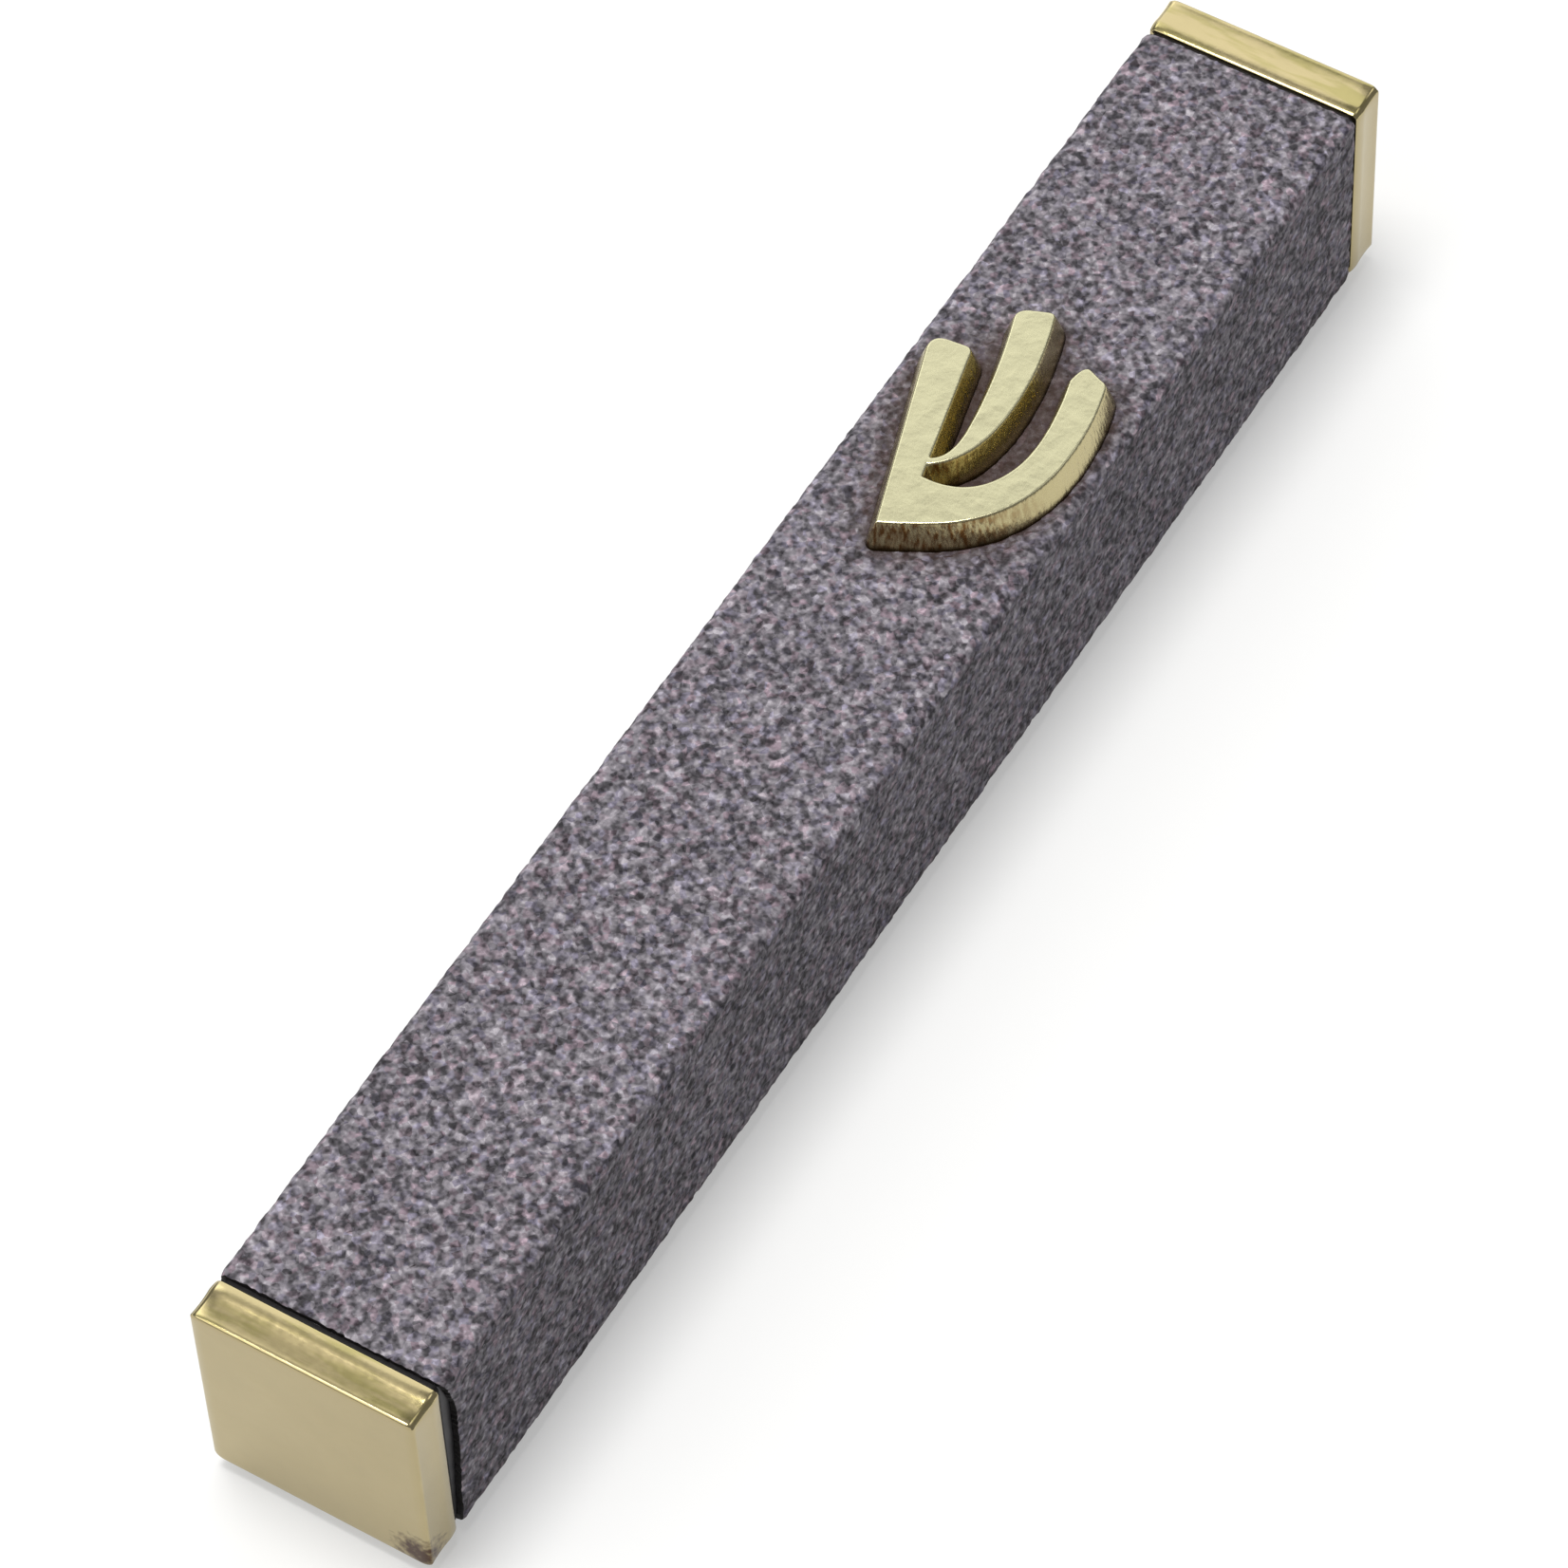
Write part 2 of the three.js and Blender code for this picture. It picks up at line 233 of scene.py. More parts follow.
def mixColour(tree, factor, first, second, blend="MIX"):
    node = tree.nodes.new("ShaderNodeMix")
    node.data_type = "RGBA"
    node.blend_type = blend
    for socket, value in zip((node.inputs[0], node.inputs[6], node.inputs[7]), (factor, first, second)):
        if isinstance(value, bpy.types.NodeSocket):
            tree.links.new(value, socket)
        else:
            socket.default_value = value if isinstance(value, float) else (*value, 1)
    return node.outputs[2]


def mapRange(tree, value, fromLow, fromHigh, toLow, toHigh):
    node = wire(tree, "MapRange", {
        "Value": value, "From Min": fromLow, "From Max": fromHigh,
        "To Min": toLow, "To Max": toHigh,
    })
    return node.outputs[0]


# A value from 0 to 1 spread from low to high, around a middle value.
def spread(tree, value, low, high, around=0.0):
    return mapRange(tree, value, 0.0, 1.0, around + low, around + high)


# A colour that is partly darker, by the share given.
def patchy(tree, factor, share, colour):
    return mixColour(tree, factor, tuple(share * part for part in colour), colour)


# How far the surface faces along an axis, from -1 to 1.
def facing(tree, axis):
    normal = wire(tree, "NewGeometry").outputs["Normal"]
    return wire(tree, "SeparateXYZ", {0: normal}).outputs[axis]


def newGroup(name, inputs, outputs):
    group = bpy.data.node_groups.new(name, "ShaderNodeTree")
    for label, value in inputs.items():
        socket = group.interface.new_socket(
            name=label, in_out="INPUT", socket_type="NodeSocketFloat")
        socket.default_value = value
    for label in outputs:
        group.interface.new_socket(name=label, in_out="OUTPUT", socket_type="NodeSocketFloat")
    return group, group.nodes.new("NodeGroupInput").outputs, group.nodes.new("NodeGroupOutput").inputs


def objectMillimetres(group):
    place = wire(group, "TexCoord").outputs["Object"]
    scaled = wire(group, "VectorMath", {0: place, 1: (1 / mm,) * 3}, operation="MULTIPLY")
    return scaled.outputs[0]


# A value drawn away from a half by the contrast.
def stretched(group, value, contrast):
    offMiddle = calc(group, "SUBTRACT", value, 0.5)
    return calc(group, "ADD", calc(group, "MULTIPLY", offMiddle, contrast), 0.5, clamp=True)


# Separate grains: each has its own shade and tint, and stands up in the middle.
def makeGrainGroup():
    group, given, out = newGroup("grains", {"Scale": 3.0}, ("Shade", "Tint", "Dome"))
    cells = wire(group, "TexVoronoi", {
        "Vector": objectMillimetres(group), "Scale": given["Scale"], "Randomness": 1.0})
    parts = wire(group, "SeparateColor", {"Color": cells.outputs["Color"]})
    group.links.new(parts.outputs["Red"], out["Shade"])
    group.links.new(parts.outputs["Green"], out["Tint"])
    dome = calc(group, "SUBTRACT", 1.0, cells.outputs["Distance"], clamp=True)
    group.links.new(dome, out["Dome"])
    return group


# Soft clouds of lighter and darker tone, or of height.
def makeMottleGroup():
    group, given, out = newGroup("mottle", {"Scale": 1.0, "Detail": 3.0, "Contrast": 1.0}, ("Value",))
    cloud = wire(group, "TexNoise", {
        "Vector": objectMillimetres(group), "Scale": given["Scale"],
        "Detail": given["Detail"], "Roughness": 0.55})
    group.links.new(stretched(group, cloud.outputs["Fac"], given["Contrast"]), out["Value"])
    return group


# Long fine lines, as a die, a brush or a polishing wheel leaves. Each scale is per millimetre.
def makeLineGroup():
    group, given, out = newGroup(
        "runLines", {"Across X": 8.0, "Across Y": 0.2, "Across Z": 8.0, "Contrast": 1.0}, ("Value",))
    scales = wire(group, "CombineXYZ", {
        "X": given["Across X"], "Y": given["Across Y"], "Z": given["Across Z"]})
    place = wire(group, "VectorMath", {
        0: objectMillimetres(group), 1: scales.outputs[0]}, operation="MULTIPLY")
    lines = wire(group, "TexNoise", {
        "Vector": place.outputs[0], "Scale": 1.0, "Detail": 2.0, "Roughness": 0.6})
    group.links.new(stretched(group, lines.outputs["Fac"], given["Contrast"]), out["Value"])
    return group


# Where an outer edge is rubbed. Width is in metres.
def makeEdgeWearGroup():
    group, given, out = newGroup("edgeWear", {"Width": 0.0002, "Amount": 1.0, "Breakup": 3.0}, ("Mask",))
    rounded = wire(group, "Bevel", {"Radius": given["Width"]}, samples=4)
    flat = wire(group, "NewGeometry").outputs["Normal"]
    match = wire(group, "VectorMath", {0: rounded.outputs[0], 1: flat}, operation="DOT_PRODUCT")
    away = calc(group, "MULTIPLY", calc(group, "SUBTRACT", 1.0, match.outputs["Value"]), 9.0, clamp=True)
    cloud = wire(group, "TexNoise", {
        "Vector": objectMillimetres(group), "Scale": given["Breakup"], "Detail": 3.0})
    broken = mapRange(group, cloud.outputs["Fac"], 0.38, 0.62, 0.25, 1.0)
    worn = calc(group, "MULTIPLY", calc(group, "MULTIPLY", away, broken), given["Amount"], clamp=True)
    group.links.new(worn, out["Mask"])
    return group


# Small specks of dust or fibre, few and sharp.
def makeSpeckGroup():
    group, given, out = newGroup("specks", {"Scale": 2.0, "Size": 0.12}, ("Mask",))
    cells = wire(group, "TexVoronoi", {
        "Vector": objectMillimetres(group), "Scale": given["Scale"], "Randomness": 1.0})
    near = calc(group, "LESS_THAN", cells.outputs["Distance"], given["Size"])
    group.links.new(near, out["Mask"])
    return group


groups = {
    "grains": makeGrainGroup(),
    "mottle": makeMottleGroup(),
    "runLines": makeLineGroup(),
    "edgeWear": makeEdgeWearGroup(),
    "specks": makeSpeckGroup(),
}


# Adds one of the groups with its inputs set. An underscore stands for a space in an input's name.
def use(tree, name, **inputs):
    node = wire(tree, "Group", node_tree=groups[name])
    for key, value in inputs.items():
        node.inputs[key.replace("_", " ")].default_value = value
    return node.outputs


def mottle(tree, scale, detail, contrast):
    return use(tree, "mottle", Scale=scale, Detail=detail, Contrast=contrast)["Value"]


# The scales are per millimetre along X, Y and Z, so a small one gives long lines that way.
def runLines(tree, scales, contrast):
    x, y, z = scales
    return use(tree, "runLines", Across_X=x, Across_Y=y, Across_Z=z, Contrast=contrast)["Value"]


def edgeWear(tree, width, amount, breakup):
    return use(tree, "edgeWear", Width=width * mm, Amount=amount, Breakup=breakup)["Mask"]


def specks(tree, scale, size):
    return use(tree, "specks", Scale=scale, Size=size)["Mask"]


# A material whose nodes one of the functions below makes, from the values in its dictionary.
def makeMaterial(name, fill, look):
    material = bpy.data.materials.new(name)
    material.use_nodes = True
    fill(material.node_tree, look)
    return material


# Sets the material's own shader: a value goes on the socket, and a socket is linked to it.
def plug(tree, **sockets):
    names = {
        "colour": "Base Color", "roughness": "Roughness", "metallic": "Metallic",
        "normal": "Normal", "alpha": "Alpha", "specular": "Specular IOR Level", "ior": "IOR",
        "glowColour": "Emission Color", "glow": "Emission Strength",
    }
    for key, value in sockets.items():
        socket = tree.nodes["Principled BSDF"].inputs[names[key]]
        if isinstance(value, bpy.types.NodeSocket):
            tree.links.new(value, socket)
        else:
            socket.default_value = value


def bump(tree, height, depth, strength=1.0):
    node = wire(tree, "Bump", {"Height": height, "Distance": depth * mm, "Strength": strength})
    return node.outputs["Normal"]


# ---- materials ----

stoneFinish = {
    "coarseGrain": 2.2,         # grains per millimetre
    "fineGrain": 4.6,
    "cloud": 1.8,
    "coarseShare": 0.30,        # what each of the three adds to the tone
    "fineShare": 0.16,
    "cloudShare": 0.54,
    "tones": [                  # from the darkest grains to the lightest flecks
        (0.00, (0.008, 0.007, 0.009)),
        (0.26, (0.038, 0.035, 0.041)),
        (0.50, (0.102, 0.094, 0.108)),
        (0.74, (0.182, 0.168, 0.189)),
        (1.00, (0.340, 0.318, 0.349)),
    ],
    "cornerShade": (0.030, 0.016, 0.012),      # painted shade in corners, most of all around the letter
    "cornerShadeReach": 3.0,
    "coolTint": (0.95, 0.94, 1.10),
    "warmTint": (1.13, 0.93, 0.99),
}


def fillStone(tree, look):
    coarse = use(tree, "grains", Scale=look["coarseGrain"])
    fine = use(tree, "grains", Scale=look["fineGrain"])
    cloud = mottle(tree, look["cloud"], 1.0, 3.0)
    drift = mottle(tree, 0.2, 2.0, 0.5)
    shade = calc(tree, "MULTIPLY", coarse["Shade"], look["coarseShare"])
    shade = plus(tree, shade, fine["Shade"], look["fineShare"])
    shade = plus(tree, shade, cloud, look["cloudShare"])
    shade = calc(tree, "ADD", shade, spread(tree, drift, -0.06, 0.06), clamp=True)
    colour = ramp(tree, shade, look["tones"])
    tint = ramp(tree, coarse["Tint"], [
        (0.0, look["coolTint"]), (0.35, (1, 1, 1)), (0.65, (1, 1, 1)), (1.0, look["warmTint"])])
    colour = mixColour(tree, 1.0, colour, tint, "MULTIPLY")
    # Painted shade: the skin darkens where other surfaces are close, most of all around the letter.
    crevice = wire(tree, "AmbientOcclusion", {"Distance": look["cornerShadeReach"] * mm}, samples=6)
    cornerShadeMask = mapRange(tree, crevice.outputs["AO"], 0.90, 0.64, 0.0, 0.95)
    colour = mixColour(tree, cornerShadeMask, colour, look["cornerShade"])
    roughness = spread(tree, fine["Tint"], 0.55, 0.92)
    height = plus(tree, coarse["Dome"], fine["Dome"], 0.6)
    plug(tree, colour=colour, roughness=roughness, specular=0.2,
         normal=bump(tree, height, 0.06, 0.6))


goldFinish = {
    "metal": (0.425, 0.352, 0.188),
    "bright": (0.560, 0.500, 0.300),    # where edges are rubbed
    # painted dark reflection on the caps' upward faces
    "darkReflection": (0.330, 0.285, 0.120),
    "tarnishAndShade": (0.060, 0.024, 0.008),   # in one lower corner of the lower cap's end
    "tarnishCore": 0.6,         # fully stained up to here, and not at all past the reach
    "tarnishReach": 2.1,
    "tarnishUneven": 0.8,       # its edge wanders by this much
    "roughness": 0.17,
    "edge": 0.22,               # how wide the rubbed edges are
}


def fillPolishedGold(tree, look):
    cloud = mottle(tree, 0.45, 3.0, 1.6)
    haze = mottle(tree, 2.2, 4.0, 1.4)
    lines = runLines(tree, (0.5, 14.0, 9.0), 1.4)
    worn = edgeWear(tree, look["edge"], 0.8, 1.2)
    toned = patchy(tree, cloud, 0.94, look["metal"])
    # Dark streaky patches on the caps' upward faces: painted dark reflection.
    reflectionStreaks = runLines(tree, (0.22, 1.3, 0.9), 3.0)
    darkReflectionMask = calc(tree, "MULTIPLY", mapRange(tree, reflectionStreaks, 0.35, 0.9, 0.0, 0.9),
                   mapRange(tree, facing(tree, "Z"), 0.6, 0.95, 0.0, 1.0))
    toned = mixColour(tree, darkReflectionMask, toned, look["darkReflection"])
    colour = mixColour(tree, worn, toned, look["bright"])
    low, high = boxOf("bottom_end_cap")
    corner = ((high[0] - 0.8) * mm, low[1] * mm, (low[2] + 1.2) * mm)
    away = wire(tree, "VectorMath", {
        0: wire(tree, "TexCoord").outputs["Object"], 1: corner}, operation="DISTANCE")
    wander = look["tarnishUneven"] * mm
    reach = calc(tree, "ADD", away.outputs["Value"], mapRange(tree, haze, 0.2, 0.8, -wander, wander))
    stained = mapRange(tree, reach, look["tarnishCore"] * mm, look["tarnishReach"] * mm, 1.0, 0.0)
    colour = mixColour(tree, stained, colour, look["tarnishAndShade"])
    roughness = spread(tree, haze, -0.04, 0.06, look["roughness"])
    roughness = calc(tree, "ADD", roughness, spread(tree, lines, -0.02, 0.03))
    height = plus(tree, cloud, lines, 0.03)
    plug(tree, colour=colour, metallic=1.0, roughness=roughness,
         normal=bump(tree, height, 0.02, 0.5))


letterLook = {
    "drawnHeight": 20.3,        # the strokes below are drawn on a sheet of this height
    "height": 20.5,
    "thickness": 2.15,
    "flare": 0.65,              # how far the sides run out from the top to the foot
    "edgeRadius": 0.17,
    "drawnMiddle": 0.2,         # the strokes' own middle lies this far from the case's middle
    "step": 0.07,               # spacing of the surface points
    "sunk": 0.3,                # the foot carries on this far into the grain
    "dents": 0.012,
    "pegRadius": 0.8,
    "pegs": ((-3.9, 11), (5.15, 11)),
    "pegFacets": 24,
    "seed": 3,
}

letterFinish = {
    "metal": (0.475, 0.447, 0.285),
    "wall": (0.510, 0.445, 0.245),      # on the cast sides
    "wallLineReflection": (0.190, 0.095, 0.030),  # draw lines down the sides that face the lower end, dark there as painted reflection
    "foot": (0.060, 0.040, 0.015),      # painted shade in the corner where the letter meets the skin
    "footHeight": 0.45,
    "bright": (0.640, 0.620, 0.430),
    "roughness": 0.25,
    "edge": 0.18,
}


def fillSatinGold(tree, look):
    cloud = mottle(tree, 0.9, 2.0, 1.5)
    pits = mottle(tree, 7.0, 2.0, 1.8)
    walls = runLines(tree, (3.2, 3.2, 0.2), 4.0)
    worn = edgeWear(tree, look["edge"], 0.7, 1.6)
    steep = mapRange(tree, facing(tree, "Z"), 0.55, 0.95, 1.0, 0.0)
    toned = patchy(tree, cloud, 0.9, look["metal"])
    # Real draw lines, painted dark only on the sides that face the lower end: painted dark reflection.
    darkReflectionLines = calc(tree, "MULTIPLY", walls, mapRange(tree, facing(tree, "Y"), -0.2, -0.7, 0.0, 1.0))
    wallTone = mixColour(tree, darkReflectionLines, look["wall"], look["wallLineReflection"])
    face = (boxOf("letter_shin")[1][2] - letterLook["thickness"]) * mm
    level = wire(tree, "SeparateXYZ", {
        0: wire(tree, "TexCoord").outputs["Object"]}).outputs["Z"]
    # Painted shade: the letter darkens towards its foot, where it meets the skin.
    tarnishAndShade = mapRange(tree, level, face + 0.1 * mm, face + look["footHeight"] * mm, 1.0, 0.0)
    colour = mixColour(tree, steep, toned, wallTone)
    colour = mixColour(tree, worn, colour, look["bright"])
    colour = mixColour(tree, tarnishAndShade, colour, look["foot"])
    roughness = spread(tree, pits, -0.03, 0.05, look["roughness"])
    height = plus(tree, cloud, pits, 0.05)
    height = plus(tree, height, calc(tree, "MULTIPLY", walls, steep), 0.9)
    plug(tree, colour=colour, metallic=1.0, roughness=roughness,
         normal=bump(tree, height, 0.03, 0.6))


channelFinish = {
    "black": (0.018, 0.017, 0.019),
    "drawLine": (0.0396, 0.0374, 0.0418),       # fine lines along the channel
    "bare": (0.42, 0.42, 0.43),         # aluminium where the black is rubbed off
    "roughness": 0.42,
}


def fillChannelMetal(tree, look):
    lines = runLines(tree, (9.0, 0.12, 9.0), 1.6)
    cloud = mottle(tree, 0.35, 3.0, 1.2)
    worn = edgeWear(tree, 0.2, 0.85, 2.2)
    toned = mixColour(tree, lines, look["black"], look["drawLine"])
    colour = mixColour(tree, worn, toned, look["bare"])
    metallic = spread(tree, worn, 0.55, 1.0)
    roughness = spread(tree, cloud, -0.08, 0.1, look["roughness"])
    plug(tree, colour=colour, metallic=metallic, roughness=roughness,
         normal=bump(tree, lines, 0.012, 0.6))


plugFinish = {
    "base": (0.007, 0.006, 0.007), "scuffed": (0.022, 0.021, 0.021),
    "roughness": 0.55, "grain": 5.0, "lines": 0.0, "specular": 0.15,
}
plateFinish = {
    "base": (0.026, 0.026, 0.028), "scuffed": (0.15, 0.15, 0.15),
    "roughness": 0.5, "grain": 4.0, "lines": 0.8, "specular": 0.5,
}
backingFinish = {
    "base": (0.009, 0.008, 0.009), "scuffed": (0.024, 0.022, 0.023),
    "roughness": 0.6, "grain": 6.0, "lines": 0.0, "specular": 0.2,
}


# Moulded plastic: a fine spark-eroded grain, paler where edges are scuffed.
def fillPlastic(tree, look):
    texture = mottle(tree, look["grain"], 2.0, 1.8)
    cloud = mottle(tree, 0.25, 2.0, 1.0)
    lines = runLines(tree, (6.0, 0.1, 6.0), 1.5)
    worn = edgeWear(tree, 0.22, 0.7, 2.5)
    dust = specks(tree, 1.1, 0.07)
    toned = patchy(tree, cloud, 0.75, look["base"])
    toned = mixColour(tree, dust, toned, look["scuffed"])
    colour = mixColour(tree, worn, toned, look["scuffed"])
    roughness = spread(tree, texture, -0.08, 0.12, look["roughness"])
    height = plus(tree, texture, lines, look["lines"])
    plug(tree, colour=colour, roughness=roughness, specular=look["specular"],
         normal=bump(tree, height, 0.015, 0.7))


foamFinish = {"foam": (0.80, 0.78, 0.74), "poreShade": (0.50, 0.48, 0.45), "poreScale": 4.5}


def fillFoam(tree, look):
    pores = use(tree, "grains", Scale=look["poreScale"])
    cloud = mottle(tree, 0.5, 3.0, 1.0)
    tone = patchy(tree, cloud, 0.93, look["foam"])
    # Painted shade: darker where the surface lies low between the cells.
    colour = mixColour(tree, mapRange(tree, pores["Dome"], 0.35, 0.6, 1.0, 0.0), tone, look["poreShade"])
    plug(tree, colour=colour, specular=0.2,
         roughness=spread(tree, pores["Shade"], 0.82, 0.98),
         normal=bump(tree, pores["Dome"], 0.12, 0.9))


linerFinish = {
    "paper": (0.66, 0.43, 0.17), "pale": (0.76, 0.55, 0.28), "stain": (0.52, 0.31, 0.11),
    "crease": (0.86, 0.72, 0.50), "roughness": 0.42,
}


def fillLinerPaper(tree, look):
    fibres = runLines(tree, (3.0, 0.7, 3.0), 1.8)
    cloud = mottle(tree, 0.6, 4.0, 1.6)
    creases = edgeWear(tree, 0.2, 0.6, 2.0)
    colour = mixColour(tree, fibres, look["paper"], look["pale"])
    colour = mixColour(tree, spread(tree, cloud, 0.0, 0.3), colour, look["stain"])
    colour = mixColour(tree, creases, colour, look["crease"])
    roughness = spread(tree, cloud, -0.07, 0.1, look["roughness"])
    plug(tree, colour=colour, roughness=roughness, specular=0.5,
         normal=bump(tree, cloud, 0.02, 0.6))


parchmentFinish = {
    "skin": (0.80, 0.70, 0.50), "pale": (0.87, 0.80, 0.64), "stain": (0.60, 0.45, 0.25),
    "roughness": 0.62,
}


def fillParchment(tree, look):
    cloud = mottle(tree, 0.16, 5.0, 1.9)
    follicles = specks(tree, 2.4, 0.13)
    fibre = mottle(tree, 5.0, 4.0, 1.4)
    worn = edgeWear(tree, 0.25, 0.7, 1.4)
    colour = mixColour(tree, cloud, look["skin"], look["pale"])
    colour = mixColour(tree, spread(tree, fibre, 0.0, 0.18), colour, look["stain"])
    colour = mixColour(tree, calc(tree, "MULTIPLY", follicles, 0.22), colour, look["stain"])
    colour = mixColour(tree, calc(tree, "MULTIPLY", worn, 0.6), colour, look["stain"])
    height = plus(tree, cloud, fibre, 0.3)
    roughness = spread(tree, fibre, -0.08, 0.1, look["roughness"])
    plug(tree, colour=colour, roughness=roughness, specular=0.4,
         normal=bump(tree, height, 0.04, 0.7))


filmFinish = {"tone": (0.88, 0.91, 0.93), "alpha": 0.2, "scratched": 0.42}


def fillFilm(tree, look):
    lines = runLines(tree, (5.0, 0.15, 5.0), 2.6)
    cloud = mottle(tree, 0.5, 3.0, 1.6)
    scuffs = edgeWear(tree, 0.2, 0.9, 1.5)
    colour = patchy(tree, cloud, 0.94, look["tone"])
    alpha = mapRange(tree, lines, 0.55, 1.0, look["alpha"], look["scratched"])
    alpha = calc(tree, "ADD", alpha, calc(tree, "MULTIPLY", scuffs, 0.35), clamp=True)
    roughness = spread(tree, cloud, 0.06, 0.2)
    plug(tree, colour=colour, roughness=roughness, alpha=alpha, ior=1.5,
         normal=bump(tree, cloud, 0.02, 0.5))


stoneGrain = makeMaterial("stoneGrain", fillStone, stoneFinish)
polishedGold = makeMaterial("polishedGold", fillPolishedGold, goldFinish)
satinGold = makeMaterial("satinGold", fillSatinGold, letterFinish)
channelMetal = makeMaterial("blackChannel", fillChannelMetal, channelFinish)
plugPlastic = makeMaterial("plugPlastic", fillPlastic, plugFinish)
platePlastic = makeMaterial("platePlastic", fillPlastic, plateFinish)
skinBacking = makeMaterial("skinBacking", fillPlastic, backingFinish)
padFoam = makeMaterial("whiteFoam", fillFoam, foamFinish)
linerPaper = makeMaterial("waxedPaper", fillLinerPaper, linerFinish)
parchmentSkin = makeMaterial("parchmentSkin", fillParchment, parchmentFinish)
clearFilm = makeMaterial("clearFilm", fillFilm, filmFinish)
print("materials made:", len(bpy.data.materials))


# ---- stone-grain skin ----

skinLook = {
    "thickness": 0.5,
    "cornerRadius": 0.8,
    "hemFromMiddle": 4.8,       # where the turned-in skin ends at the back
    "grainSpacing": 0.29,
    "grainHeight": 0.055,       # how far a single grain stands out or in
    "gritHeight": 0.02,
    "grainDrift": 0.09,         # how far it lies off the even spacing
    "lumpHeight": 0.025,
    "lumpSpan": 4,              # in grains
    "raggedEnd": 0.06,
    "endFall": 0.08,
    "slantedCut": 0.95,         # the lower end stops this much short on one side
    "slantReach": 5.0,
    "seed": 11,
}


def sectionCorners(low, high, inset, hem):
    left, right = low[0] + inset, high[0] - inset
    back, front = low[2] + inset, high[2] - inset
    return [(-hem, back), (left, back), (left, front), (right, front), (right, back), (hem, back)]


def buildSkin():
    look = skinLook
    low, high = boxOf("stone_grain_skin")
    draws = np.random.RandomState(look["seed"])
    girth = 2 * (high[2] - low[2]) + 2 * (high[0] - low[0]) - 2 * look["hemFromMiddle"]
    columns = int(girth / look["grainSpacing"])
    rows = int((high[1] - low[1]) / look["grainSpacing"])
    outer = roundedPath(
        sectionCorners(low, high, 0, look["hemFromMiddle"]), look["cornerRadius"], columns)
    inner = roundedPath(
        sectionCorners(low, high, look["thickness"], look["hemFromMiddle"]),
        look["cornerRadius"] - look["thickness"] + 0.1, columns)
    normals = pathNormals(outer)
    tangents = np.gradient(outer, axis=0)
    tangents /= np.linalg.norm(tangents, axis=1)[:, None]

    height = smoothField(draws, rows, columns, 1.6) * look["grainHeight"]
    height += draws.uniform(-1, 1, (rows, columns)) * look["gritHeight"]
    height += smoothField(draws, rows, columns, look["lumpSpan"]) * look["lumpHeight"]
    sideways = draws.uniform(-1, 1, (rows, columns)) * look["grainDrift"]
    lengthwise = draws.uniform(-1, 1, (rows, columns)) * look["grainDrift"]
    for edge in (0, -1):        # the cut ends turn down a little and are slightly ragged
        height[edge] -= look["endFall"]
        lengthwise[edge] = draws.uniform(-1, 1, columns) * look["raggedEnd"]
        sideways[:, edge] = 0

    y = np.linspace(low[1], high[1], rows)[:, None] + lengthwise
    depthBack = np.clip((high[2] - outer[:, 1]) / (high[2] - low[2]), 0, 1)
    onRight = outer[:, 0] > high[0] - look["cornerRadius"]
    closing = 1 - 0.65 * np.clip((depthBack - 0.45) / 0.5, 0, 1)
    opening = np.clip(depthBack / 0.2, 0, 1) ** 0.8 * closing
    cut = np.where(onRight, look["slantedCut"] * opening, 0)
    fade = np.clip(1 - (y - low[1]) / look["slantReach"], 0, 1)
    y = y + fade * cut[None, :]

    points = np.empty((rows, columns, 3))
    points[:, :, (0, 2)] = outer + normals * height[:, :, None] + tangents * sideways[:, :, None]
    points[:, :, 1] = y
    ends = np.empty((2, columns, 3))
    ends[:, :, (0, 2)] = inner
    ends[:, :, 1] = points[(0, -1), :, 1]
    last = rows * columns
    faces = gridQuads(rows, columns) + gridQuads(2, columns, first=last)
    for row, start in ((0, last), (rows - 1, last + columns)):
        for column in range(columns - 1):
            faces.append([row * columns + column, row * columns + column + 1,
                          start + column + 1, start + column])
    for column in (0, columns - 1):
        hem = [row * columns + column for row in range(rows)]
        faces.append(hem + [last + columns + column, last + column])
    allPoints = np.concatenate([points.reshape(-1, 3), ends.reshape(-1, 3)])
    skin = addPiece("stoneGrainSkin", allPoints, faces, "case", stoneGrain, smooth=False)
    skin.data.materials.append(skinBacking)         # the inner side and the cut edges are black
    grains = (rows - 1) * (columns - 1)
    skin.data.polygons.foreach_set(
        "material_index", [0] * grains + [1] * (len(skin.data.polygons) - grains))
    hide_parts("stone_grain_skin")
    print("skin:", rows, "by", columns, "grains")


buildSkin()


# ---- end caps ----

capLook = {
    "cornerRadius": 0.5,
    "edgeDepth": 0.26,          # rounding around the end face, along the case
    "edgeAcross": (0.75, 0.24), # and on the face: at its sides, and at its top and bottom
    "innerEdge": (0.85, 0.15),  # rounding towards the plug's flange: along the case, and down
    "shoulder": (1.3, 0.085),   # the top falls off towards its corners: how wide, how much
    "wall": 1.1,
    "bandHollow": 0.05,         # the sides are this much hollow between their edges
    "facePillow": 0.05,         # the end face is this much fuller in the middle
    "ripple": 0.012,
    "rippleLengths": (6.5, 8.2, 11.0),
    "seed": 5,
}


